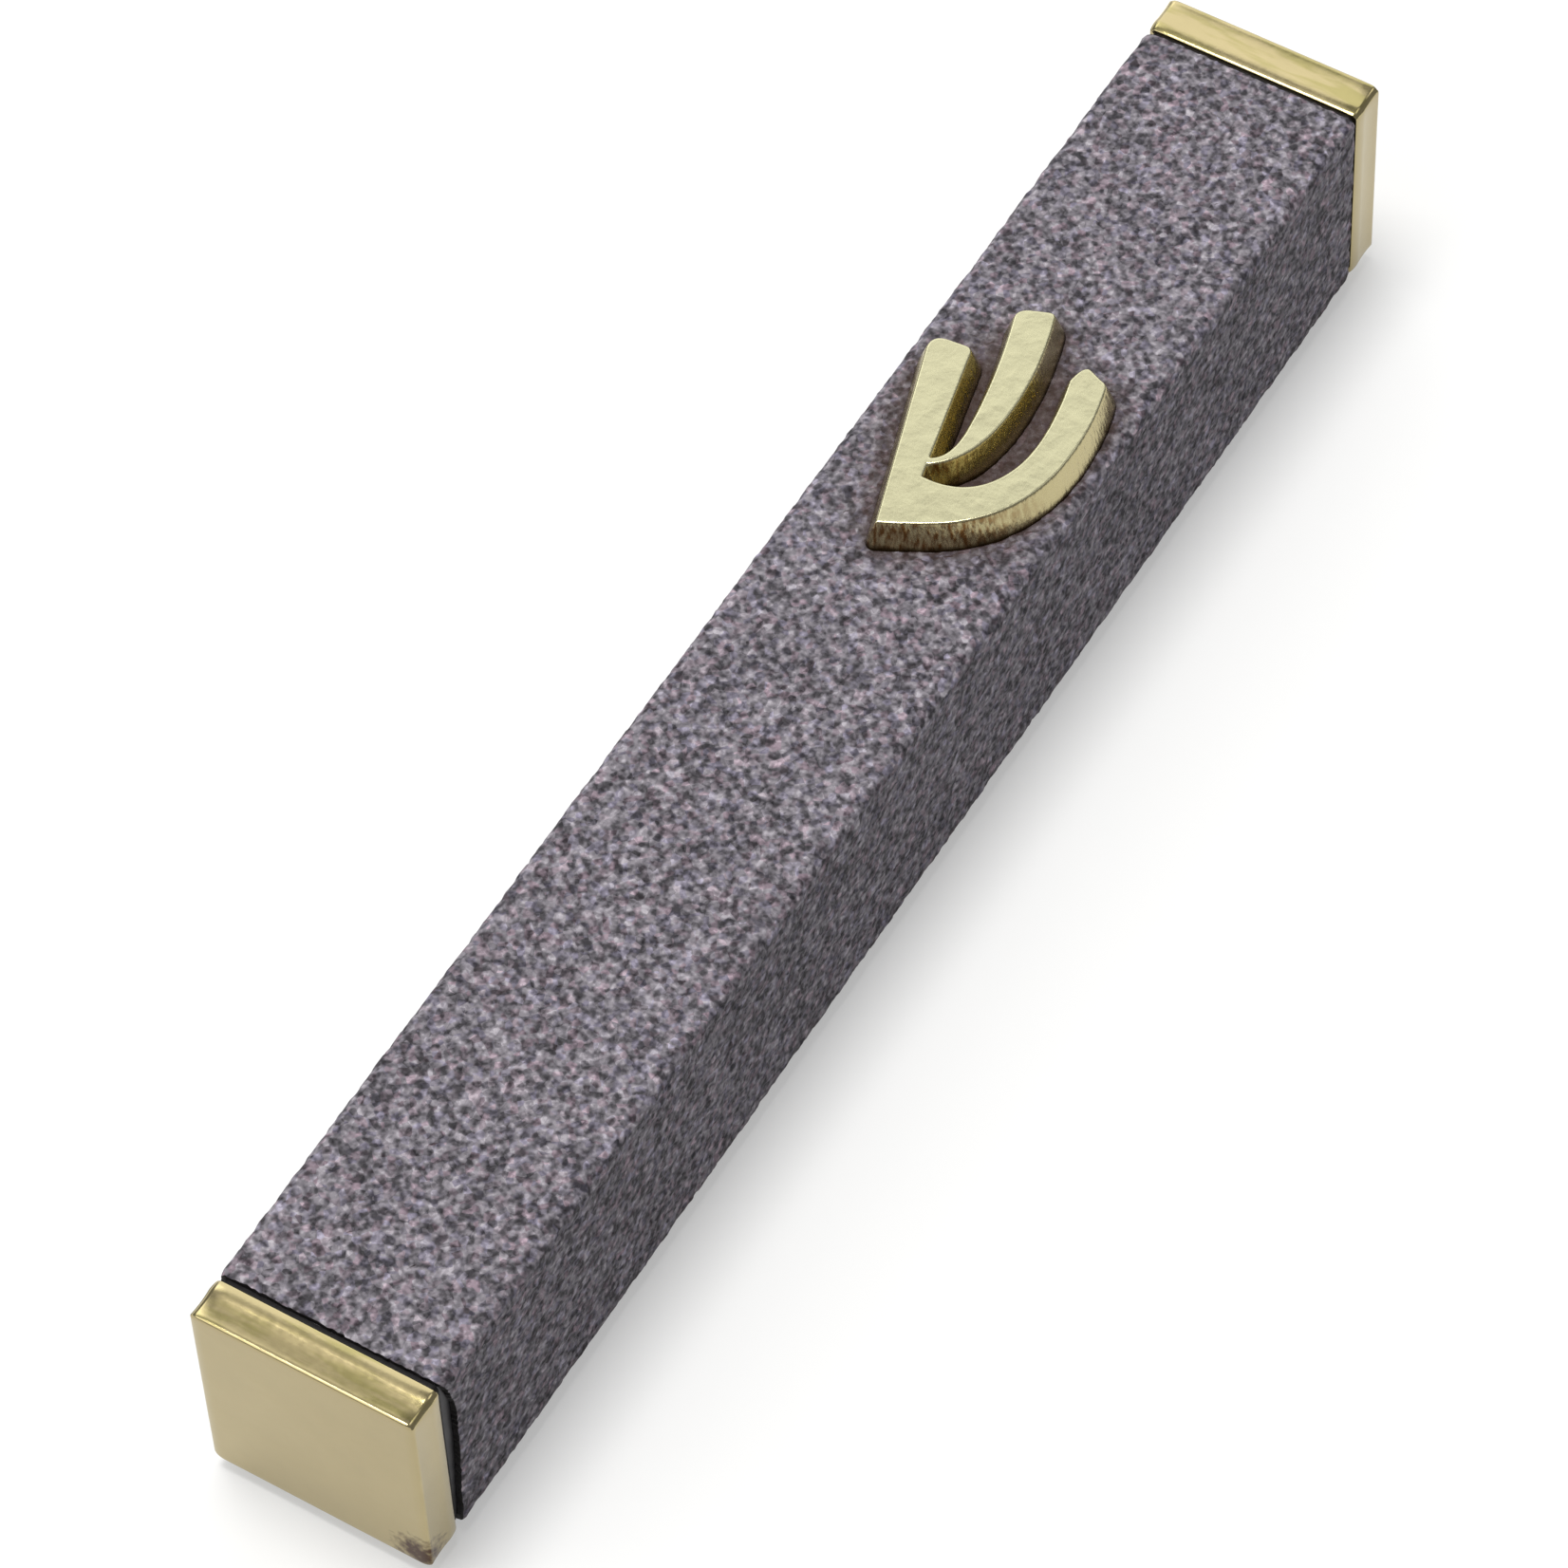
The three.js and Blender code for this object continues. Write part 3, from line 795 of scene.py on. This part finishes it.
def buildCap(node, name, body, side):
    look = capLook
    low, high = boxOf(node)
    depth = high[1] - low[1]
    inner = min(abs(low[1]), abs(high[1]))
    draws = np.random.RandomState(look["seed"] + (1 if side > 0 else 0))
    floor, ceiling = low[[0, 2]], high[[0, 2]]
    corner, roll, across = look["cornerRadius"], look["edgeDepth"], np.array(look["edgeAcross"])
    wall = look["wall"]
    # Each ring: how far in from the cap's sides, how far from its open end, and its corner radius.
    stations = [
        ((wall + 0.1, wall + 0.1), depth - wall, 0.05),
        ((wall, wall), depth - wall - 0.1, 0.12),
        ((wall, wall), 0.0, 0.12),
    ]
    pocketRings, edgeRings = len(stations), 9
    along, down = look["innerEdge"]
    for angle in np.linspace(0, math.pi / 2, edgeRings):
        inset = down * (1 - math.sin(angle))
        stations.append(((inset, inset), along * (1 - math.cos(angle)), corner - inset))
    bandStart, bandEnd = along, depth - roll
    for part in np.linspace(0, 1, 12)[1:-1]:
        inset = look["bandHollow"] * math.sin(math.pi * part) ** 0.8
        stations.append(((inset, inset), bandStart + part * (bandEnd - bandStart), corner - inset))
    for angle in np.linspace(0, math.pi / 2, 10):
        inset = across * (1 - math.cos(angle))
        stations.append((inset, bandEnd + roll * math.sin(angle), corner - inset.min()))
    halfSpan = min(ceiling - floor) / 2
    for part in np.linspace(0, 1, 16)[1:]:
        inset = across + part * (halfSpan - 0.1 - across)
        stations.append((inset, depth, min(corner, 0.45 * (halfSpan - inset.max()))))

    rings = []
    for inset, height, radius in stations:
        flat = roundedRing(floor + np.array(inset), ceiling - np.array(inset), radius)
        rings.append(np.insert(flat, 1, inner + height, axis=1))
    rings = np.array(rings)
    x, y, z = (rings[:, :, axis] for axis in range(3))      # changing these changes the rings
    middle = (floor + ceiling) / 2
    u = (x - middle[0]) / halfSpan
    v = (z - middle[1]) / halfSpan
    onFace = y > inner + depth - 0.02
    pillow = look["facePillow"] * (1 - np.clip(1 - u ** 2, 0, 1) * np.clip(1 - v ** 2, 0, 1))
    fillet = (y > inner + bandEnd) & ~onFace
    share = (y - inner - bandEnd) / roll
    y -= np.where(onFace, pillow, np.where(fillet, look["facePillow"] * share, 0))
    ripple = np.zeros(x.shape)
    for length in look["rippleLengths"]:
        turn, start = draws.uniform(0, 2 * math.pi, 2)
        phase = 2 * math.pi / length * (x * math.cos(turn) + z * math.sin(turn))
        ripple += look["ripple"] * (1 + np.cos(phase + start)) / 2
    ripple /= len(look["rippleLengths"])
    wide, fall = look["shoulder"]
    toSide = np.clip((abs(x - middle[0]) - (halfSpan - wide)) / wide, 0, 1)
    onBand = (z > ceiling[1] - 0.3) & ~onFace
    onBand[:pocketRings] = False
    z -= np.where(onBand, fall * toSide ** 2, 0)
    y[pocketRings + edgeRings:] -= ripple[pocketRings + edgeRings:]
    y *= side

    count = rings.shape[1]
    faces = gridQuads(len(stations), count, closed=True)
    faces.append(list(range(count)))
    faces.append([len(stations) * count - 1 - spot for spot in range(count)])
    cap = addPiece(name, rings.reshape(-1, 3), faces, body, polishedGold, sharpAngle=50)
    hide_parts(node)


buildCap("bottom_end_cap", "bottomEndCap", "bottom_cap", -1)
buildCap("top_end_cap", "topEndCap", "top_cap", 1)
print("end caps made")


# ---- letter ----

# Corners of each stroke. A pair of points is a curve's handle and then its end.
strokes = {
    "left": [
        (-1.95, 0), (-0.3, 0.8), (-1, 4), (-3.45, 14.6), ((-3.55, 15.25), (-4.1, 15.25)),
        (-5.5, 15.1), ((-6.55, 14.9), (-6.35, 13.8)),
    ],
    "middle": [
        (-2.2, 6.1), (-2.1, 5.5), (-1.3, 5.7), ((1.05, 7.4), (1.14, 11.6)),
        ((1.25, 15.6), (-0.25, 20)), ((-0.4, 20.4), (-0.9, 20.25)), (-2.05, 19.8),
        ((-2.9, 19.4), (-2.65, 18.6)), ((-1.05, 13.5), (-0.65, 9.2)), ((-0.45, 6.95), (-1.5, 6.3)),
    ],
    "right": [
        (-1.95, 0), ((1.2, 1.5), (2.6, 2.6)), ((6.1, 5.5), (6.24, 10.4)),
        ((6.35, 13.6), (5.5, 16.5)), ((5.35, 17), (4.95, 17.05)), (3.8, 17.5),
        ((3.2, 17.6), (3.05, 16)), ((4.3, 11.2), (3.65, 8.5)), ((2.6, 4.5), (-1.4, 4.75)),
        (-3.35, 4.75),
    ],
}


def strokeOutline(corners):
    line = [np.array(corners[0], float)]
    for corner in list(corners[1:]) + [corners[0]]:
        start = line[-1]
        if isinstance(corner[0], tuple):
            handle, end = (np.array(point, float) for point in corner)
            for part in np.linspace(0, 1, 25)[1:]:
                line.append((1 - part) ** 2 * start + 2 * part * (1 - part) * handle + part ** 2 * end)
        else:
            end = np.array(corner, float)
            count = max(2, int(np.linalg.norm(end - start) / 0.1))
            line += [start + (end - start) * part for part in np.linspace(0, 1, count)[1:]]
    return np.array(line[:-1])


def insideOutline(points, outline):
    inside = np.zeros(len(points), bool)
    for start, end in zip(outline, np.roll(outline, -1, axis=0)):
        if start[1] == end[1]:
            continue
        crosses = (start[1] > points[:, 1]) != (end[1] > points[:, 1])
        at = (end[0] - start[0]) * (points[:, 1] - start[1]) / (end[1] - start[1]) + start[0]
        inside ^= crosses & (points[:, 0] < at)
    return inside


# Distance from each point to the outline of all strokes together, positive inside.
def distanceInside(points, outlines):
    starts, ends = [], []
    for index, outline in enumerate(outlines):
        start, end = outline, np.roll(outline, -1, axis=0)
        covered = np.zeros(len(start), bool)
        for other, shape in enumerate(outlines):
            if other != index:
                covered |= insideOutline((start + end) / 2, shape)
        starts.append(start[~covered])
        ends.append(end[~covered])
    starts, ends = np.concatenate(starts), np.concatenate(ends)
    along = ends - starts
    length = (along ** 2).sum(axis=1)
    nearest = np.empty(len(points))
    for first in range(0, len(points), 4000):
        some = points[first:first + 4000, None, :] - starts[None]
        part = np.clip((some * along[None]).sum(axis=2) / length, 0, 1)
        gap = some - part[:, :, None] * along[None]
        nearest[first:first + 4000] = np.sqrt((gap ** 2).sum(axis=2)).min(axis=1)
    inside = np.zeros(len(points), bool)
    for outline in outlines:
        inside |= insideOutline(points, outline)
    return np.where(inside, nearest, -nearest)


def buildLetter():
    look = letterLook
    low, high = boxOf("letter_shin")
    face = high[2] - look["thickness"]
    scale = look["height"] / look["drawnHeight"]
    origin = np.array([look["drawnMiddle"], low[1] + look["flare"]])
    outlines = [strokeOutline(corners) * scale + origin for corners in strokes.values()]
    margin, step = 0.2, look["step"]
    xs = np.arange(low[0] - margin, high[0] + margin, step)
    ys = np.arange(low[1] - margin, high[1] + margin, step)
    x, y = np.meshgrid(xs, ys)
    gap = distanceInside(np.stack([x.ravel(), y.ravel()], axis=-1), outlines).reshape(x.shape)

    draws = np.random.RandomState(look["seed"])
    radius, drop = look["edgeRadius"], look["thickness"] - look["edgeRadius"]
    rounding = radius - np.sqrt(np.clip(radius ** 2 - (radius - np.clip(gap, 0, radius)) ** 2, 0, None))
    wall = np.clip(-gap / look["flare"], 0, 1.6)
    wall = wall * 0.86 + 0.14 * wall ** 2
    z = high[2] - rounding - drop * wall
    z -= np.abs(smoothField(draws, *x.shape, 22)) * look["dents"] * (gap > radius)
    z = np.maximum(z, face - look["sunk"])
    kept = gap > -look["flare"] * (1 + look["sunk"] / drop) - step

    rows, columns = x.shape
    quads = np.array(gridQuads(rows, columns))
    quads = quads[kept.ravel()[quads].all(axis=1)]
    used = np.unique(quads)
    place = np.full(rows * columns, -1)
    place[used] = np.arange(len(used))
    top = np.stack([x.ravel(), y.ravel(), z.ravel()], axis=-1)[used]
    under = top.copy()
    base = face - look["sunk"] - 0.02
    under[:, 2] = base
    upper = place[quads]
    lower = upper[:, ::-1] + len(used)
    edges = np.concatenate([upper[:, (a, (a + 1) % 4)] for a in range(4)])
    keys, counts = np.unique(np.sort(edges, axis=1), axis=0, return_counts=True)
    rim = keys[counts == 1]
    walls = np.concatenate([rim, rim[:, ::-1] + len(used)], axis=1)
    points = [top, under]
    faces = upper.tolist() + lower.tolist() + walls.tolist()

    first = 2 * len(used)
    around = look["pegFacets"]
    angle = np.linspace(0, 2 * math.pi, around, endpoint=False)
    for spot in look["pegs"]:   # through the skin and into the channel's front wall
        centre = np.array(spot) * scale + origin
        for level, share in ((base, 1), (low[2] + 0.2, 1), (low[2], 0.75)):
            points.append(np.stack([
                centre[0] + share * look["pegRadius"] * np.cos(angle),
                centre[1] + share * look["pegRadius"] * np.sin(angle),
                np.full(around, level)], axis=-1))
        faces += gridQuads(3, around, closed=True, first=first)
        faces.append([first + turn for turn in range(around)])
        faces.append([first + 2 * around + turn for turn in range(around)])
        first += 3 * around
    letter = addPiece("letterShin", np.concatenate(points), faces, "case", satinGold,
                      sharpAngle=75)
    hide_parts("letter_shin")
    print("letter:", len(used), "points")


buildLetter()


# ---- channel, plugs and back plate ----

softenedCopy("case_shell", "caseChannel", "case", channelMetal, 0.09)
softenedCopy("bottom_cap_plug", "bottomCapPlug", "bottom_cap", plugPlastic, 0.08)
softenedCopy("top_cap_plug", "topCapPlug", "top_cap", plugPlastic, 0.08)
softenedCopy("back_slide_plate", "backSlidePlate", "back_plate", platePlastic, 0.12)
print("channel, plugs and back plate made")


# ---- adhesive pads and their release liners ----

padLook = {
    "spacing": 0.3,
    "levels": 5,                # rows of points up each cut edge
    "poreDepth": 0.05,          # on the cut edges
    "swell": 0.03,              # the cut edges bulge this much
    "drift": 0.06,              # how far the points lie off their rows
    "seed": 21,
}


def buildPad(node, name):
    look = padLook
    low, high = boxOf(node)
    draws = np.random.RandomState(look["seed"] + (1 if low[1] > 0 else 0))
    rows = int((high[1] - low[1]) / look["spacing"])
    across = int((high[0] - low[0]) / look["spacing"])
    ring = [(x, 0) for x in np.linspace(0, 1, across)]
    ring += [(1, z) for z in np.linspace(0, 1, look["levels"])[1:-1]]
    ring += [(x, 1) for x in np.linspace(1, 0, across)]
    ring += [(0, z) for z in np.linspace(1, 0, look["levels"])[1:-1]]
    ring = np.array(ring)
    count = len(ring)
    points = np.empty((rows, count, 3))
    points[:, :, (0, 2)] = low[[0, 2]] + ring * (high - low)[[0, 2]]
    points[:, :, 1] = np.linspace(low[1], high[1], rows)[:, None]
    onSide = ((ring[:, 0] == 0) | (ring[:, 0] == 1)) & (ring[:, 1] > 0) & (ring[:, 1] < 1)
    outward = np.where(ring[:, 0] > 0.5, 1, -1) * onSide
    bulge = look["swell"] * (np.sin(math.pi * ring[:, 1]) - 1)
    pores = draws.uniform(-1, 1, (rows, count)) * look["poreDepth"]
    points[:, :, 0] += outward * (bulge + pores)
    points[1:-1, :, 1] += draws.uniform(-1, 1, (rows - 2, count)) * look["drift"]
    faces = gridQuads(rows, count, closed=True)
    faces.append(list(range(count)))
    faces.append([(rows - 1) * count + spot for spot in range(count)])
    pad = addPiece(name, points.reshape(-1, 3), faces, "back_plate", padFoam, sharpAngle=60)
    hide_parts(node)


linerLook = {
    "thickness": 0.11,
    "cornerRadius": 0.9,
    "tab": 2.0,
    "tabLift": 0.5,             # the free end of the liner curls up this much
    "spacing": 0.25,
    "waviness": 0.02,
    "seed": 40,
}


def buildLiner(node, name):
    look = linerLook
    low, high = boxOf(node)
    inner = -1 if low[1] > 0 else 1                 # which way the free tab points
    draws = np.random.RandomState(look["seed"] + inner)
    rows = int((high[1] - low[1]) / look["spacing"])
    across = int((high[0] - low[0]) / look["spacing"])
    along = np.linspace(0, 1, rows)
    y = low[1] + along * (high[1] - low[1])
    fromEnd = np.minimum(y - low[1], high[1] - y)
    pull = np.clip(1 - fromEnd / look["cornerRadius"], 0, 1)
    half = (high[0] - low[0]) / 2 - look["cornerRadius"] * (1 - np.sqrt(1 - pull ** 2))
    fromTab = (y - low[1]) if inner < 0 else (high[1] - y)
    lift = look["tabLift"] * np.clip(1 - fromTab / (look["tab"] - 0.1), 0, 1) ** 1.7
    wave = np.abs(smoothField(draws, rows, across, 12)) * look["waviness"]
    sheet = np.empty((2, rows, across, 3))
    sheet[:, :, :, 0] = np.linspace(-1, 1, across)[None, None, :] * half[None, :, None]
    sheet[:, :, :, 1] = y[None, :, None]
    for level in (0, 1):
        sheet[level, :, :, 2] = low[2] + level * look["thickness"] + lift[:, None] + wave
    points = sheet.reshape(-1, 3)
    liner = addPiece(name, points, sheetFaces(rows, across), "back_plate", linerPaper,
                     sharpAngle=60)
    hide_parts(node)


buildPad("bottom_adhesive_pad", "bottomAdhesivePad")
buildPad("top_adhesive_pad", "topAdhesivePad")
buildLiner("bottom_release_liner", "bottomReleaseLiner")
buildLiner("top_release_liner", "topReleaseLiner")
print("pads and liners made")


# ---- rolled parchment in its clear sleeve ----

scrollLook = {
    "coreRadius": 1.7,
    "pitch": 0.45,              # from one turn of the roll to the next
    "thickness": 0.2,
    "stepsPerTurn": 72,
    "unevenEnds": 0.3,          # the turns' ends lie up to this far apart
    "slack": 0.04,
    "packedFilm": 0.12,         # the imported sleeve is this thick, and the film here half of it
    "filmThickness": 0.06,
    "filmRoom": 0.1,
    "filmOverlap": 0.12,        # share of a turn by which the sleeve overlaps itself
    "filmSteps": 120,
    "filmStations": 13,
    "stations": 41,             # along the roll
    "seed": 8,
}


def buildScroll():
    look = scrollLook
    low, high = boxOf("parchment_scroll")
    tubeLow, tubeHigh = boxOf("scroll_sleeve")
    centre = (tubeLow + tubeHigh) / 2
    tubeRadius = (tubeHigh[0] - tubeLow[0]) / 2
    outerRadius = tubeRadius - look["packedFilm"] - look["filmRoom"]
    turns = (outerRadius - look["thickness"] - look["coreRadius"]) / look["pitch"]
    steps = int(turns * look["stepsPerTurn"])
    draws = np.random.RandomState(look["seed"])
    angle = np.linspace(0, turns, steps) * 2 * math.pi
    stations = look["stations"]
    ease = smoothField(draws, steps, stations, 16) * look["slack"]
    fade = np.clip((turns - angle / 2 / math.pi) / 0.5, 0, 1)[:, None]
    ease = -np.abs(ease) * fade
    radius = look["coreRadius"] + look["pitch"] * angle / 2 / math.pi
    uneven = np.abs(smoothField(draws, steps, 2, 40)) * look["unevenEnds"]
    share = np.linspace(0, 1, stations)[None, :]
    y = (low[1] + uneven[:, :1]) * (1 - share) + (high[1] - uneven[:, 1:]) * share
    layers = []
    for offset in (0, look["thickness"]):
        reach = radius[:, None] + offset + ease
        layers.append(np.stack([
            centre[0] + reach * np.cos(angle)[:, None], y, centre[2] + reach * np.sin(angle)[:, None],
        ], axis=-1))
    points = np.concatenate([layer.reshape(-1, 3) for layer in layers])
    scroll = addPiece("parchmentScroll", points, sheetFaces(steps, stations), "scroll",
                      parchmentSkin, sharpAngle=60)
    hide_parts("parchment_scroll")

    bend = np.linspace(0, 1 + look["filmOverlap"], look["filmSteps"])
    lap = np.clip((bend - 0.02) / (1 + look["filmOverlap"]), 0, 1)
    film = []
    for offset in (0, look["filmThickness"]):
        reach = tubeRadius - 2 * look["filmThickness"] - 0.01 + offset
        reach = reach + lap * (look["filmThickness"] + 0.005)
        for level in np.linspace(tubeLow[1], tubeHigh[1], look["filmStations"]):
            film.append(np.stack([
                centre[0] + reach * np.cos(bend * 2 * math.pi),
                np.full(len(bend), level),
                centre[2] + reach * np.sin(bend * 2 * math.pi)], axis=-1))
    faces = sheetFaces(look["filmStations"], len(bend))
    sleeve = addPiece("scrollSleeve", np.concatenate(film), faces, "scroll", clearFilm,
                      sharpAngle=60)
    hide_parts("scroll_sleeve")
    print("scroll:", round(turns, 2), "turns")


buildScroll()


# ---- floor, lights and camera ----

studioLook = {
    "floorTone": 0.40,
    "floorGlow": 0.39,          # keeps the shadows on the floor faint
    "floorSize": 3.0,           # metres
    "ambient": 0.30,
    "reach": 0.9,               # from the middle to each panel of light
}

# Each panel of light: which way it stands, its size in metres, its watts and its tone.
panels = {
    "key": ((-0.12, -0.04, 0.99), (0.32, 0.32), 8.2, (1.0, 0.99, 0.97)),
    "backPanel": ((-0.42, 0.76, 0.50), (0.95, 0.84), 3.9, (0.98, 1.0, 1.0)),
    "glow": ((-0.36, 0.22, 0.91), (0.40, 0.24), 0.15, (1.0, 1.0, 0.97)),
    "rim": ((0.35, 0.46, 0.81), (0.26, 0.22), 0.30, (1.0, 1.0, 0.97)),
    "sideRim": ((-0.60, 0.45, 0.66), (0.20, 0.20), 0.22, (1.0, 1.0, 0.97)),
    "frontPanel": ((-0.36, -0.58, 0.73), (0.6, 0.8), 3.0, (1.0, 1.0, 0.97)),
}


def fillFloor(tree, look):
    cloud = mottle(tree, 0.02, 2.0, 0.4)
    colour = patchy(tree, cloud, 0.985, (look["floorTone"],) * 3)
    plug(tree, colour=colour, roughness=0.9, specular=0.1, glowColour=(1, 1, 1, 1),
         glow=look["floorGlow"])


def buildFloor():
    work = bmesh.new()
    bmesh.ops.create_grid(work, x_segments=24, y_segments=24, size=studioLook["floorSize"] / 2)
    mesh = bpy.data.meshes.new("paleFloor")
    work.to_mesh(mesh)
    work.free()
    mesh.materials.append(makeMaterial("paleFloor", fillFloor, studioLook))
    addObject("paleFloor", mesh)


def aimAt(thing, place, target):
    thing.location = place
    thing.rotation_euler = (Vector(target) - Vector(place)).to_track_quat("-Z", "Y").to_euler()


def addPanel(name, toward, size, watts, tone):
    light = bpy.data.lights.new(name, "AREA")
    light.shape = "RECTANGLE"
    light.size, light.size_y = size
    light.energy = watts
    light.color = tone
    place = Vector(toward).normalized() * studioLook["reach"]
    aimAt(addObject(name, light), place, (0, 0, 0.01))


cameraLook = {
    "target": (-0.367, -3.767, 9.65),   # millimetres
    "distance": 500.93,
    "azimuth": 33.80,                   # 0 looks along +Y, and a larger value goes towards +X
    "elevation": 54.91,
    "roll": -3.20,
    "lens": 179.06,
}


def addCamera():
    look = cameraLook
    azimuth, elevation, roll = (math.radians(look[key]) for key in ("azimuth", "elevation", "roll"))
    forward = Vector((
        -math.sin(azimuth) * math.cos(elevation),
        math.cos(azimuth) * math.cos(elevation),
        -math.sin(elevation)))
    level = Vector((math.cos(azimuth), math.sin(azimuth), 0))
    upright = level.cross(forward)
    right = level * math.cos(roll) + upright * math.sin(roll)
    up = right.cross(forward)
    place = Vector(look["target"]) * mm - forward * look["distance"] * mm
    turn = Matrix((right, up, -forward)).transposed().to_4x4()
    camera = bpy.data.cameras.new("camera")
    camera.lens = look["lens"]
    camera.sensor_fit = "HORIZONTAL"
    camera.sensor_width = 36
    camera.clip_start = 0.01
    camera.clip_end = 20
    holder = addObject("camera", camera)
    holder.matrix_world = Matrix.Translation(place) @ turn
    bpy.context.scene.camera = holder


def lightWorld():
    world = bpy.data.worlds.new("studio")
    bpy.context.scene.world = world
    world.use_nodes = True
    world.node_tree.nodes["Background"].inputs["Color"].default_value = (0.98, 0.99, 1.0, 1)
    world.node_tree.nodes["Background"].inputs["Strength"].default_value = studioLook["ambient"]


buildFloor()
for panelName, values in panels.items():
    addPanel(panelName, *values)
lightWorld()
addCamera()
bpy.context.scene.view_settings.view_transform = "Standard"
bpy.context.scene.view_settings.look = "None"
print("studio made")
